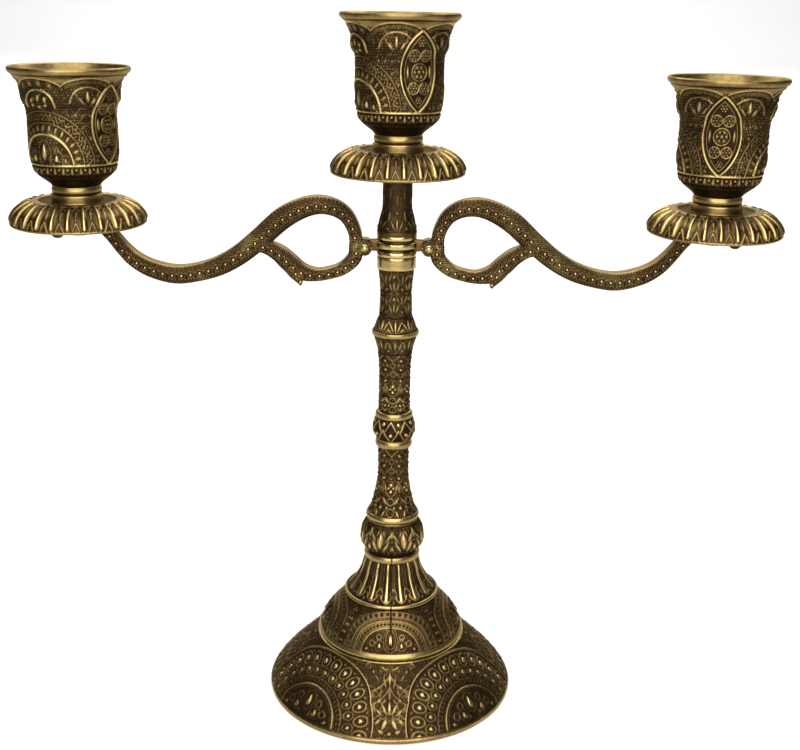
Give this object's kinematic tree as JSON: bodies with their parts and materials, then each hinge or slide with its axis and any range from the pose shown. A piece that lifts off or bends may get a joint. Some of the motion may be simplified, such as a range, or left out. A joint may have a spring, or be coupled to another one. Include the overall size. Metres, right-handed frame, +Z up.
{
  "type": "tabletop candelabra",
  "caption": "Tabletop candelabra in antiqued cast brass: domed base, turned stem, and a pair of scrolled arms with drip pans and flared candle cups beside a raised central one.",
  "frame": {"origin": "centre of the base's bottom face, on the surface the candelabra stands on", "axes": "+Z up along the stem, +X along the arms towards the right light, -Y towards the viewer"},
  "size_m": [0.2738, 0.094, 0.2539],
  "materials": {
    "antique_brass": "cast relief, dark brown patina in the hollows, rubbed golden on the high points",
    "plain_brass": "plain satin bands, lightly antiqued",
    "zinc_steel": "zinc plated hardware"
  },
  "bodies": {
    "stand": {"base_lower_dome": "antique_brass", "base_upper_dome": "antique_brass", "fluted_bell": "antique_brass", "base_washer": "zinc_steel", "base_nut": "zinc_steel", "tie_rod": "zinc_steel", "stem_bulb": "antique_brass", "stem_vase": "antique_brass", "stem_knop": "antique_brass", "stem_mid_shaft": "antique_brass", "stem_collar": "antique_brass", "stem_upper_shaft": "antique_brass", "stem_ferrule": "plain_brass", "stem_top": "antique_brass", "drip_pan_centre": "antique_brass"},
    "arm_frame": {"arm_hub": "plain_brass", "arm_left": "antique_brass", "arm_right": "antique_brass", "arm_rivet_left": "plain_brass", "arm_rivet_right": "plain_brass", "drip_pan_left": "antique_brass", "drip_pan_right": "antique_brass", "cup_washer_left": "zinc_steel", "cup_washer_right": "zinc_steel", "cup_screw_left": "zinc_steel", "cup_screw_right": "zinc_steel"},
    "cup_left": {"candle_cup_left": "antique_brass"},
    "cup_centre": {"candle_cup_centre": "antique_brass"},
    "cup_right": {"candle_cup_right": "antique_brass"}
  },
  "joints": [
    {"name": "arm_swivel", "type": "hinge", "parent": "stand", "child": "arm_frame", "pos_m": [0, 0, 0.175], "axis": [0, 0, 1], "continuous": true},
    {"name": "cup_left_turn", "type": "hinge", "parent": "arm_frame", "child": "cup_left", "pos_m": [-0.113, 0, 0.1922], "axis": [0, 0, 1], "continuous": true},
    {"name": "cup_centre_turn", "type": "hinge", "parent": "stand", "child": "cup_centre", "pos_m": [0, 0, 0.2116], "axis": [0, 0, 1], "continuous": true},
    {"name": "cup_right_turn", "type": "hinge", "parent": "arm_frame", "child": "cup_right", "pos_m": [0.113, 0, 0.1922], "axis": [0, 0, 1], "continuous": true}
  ]
}
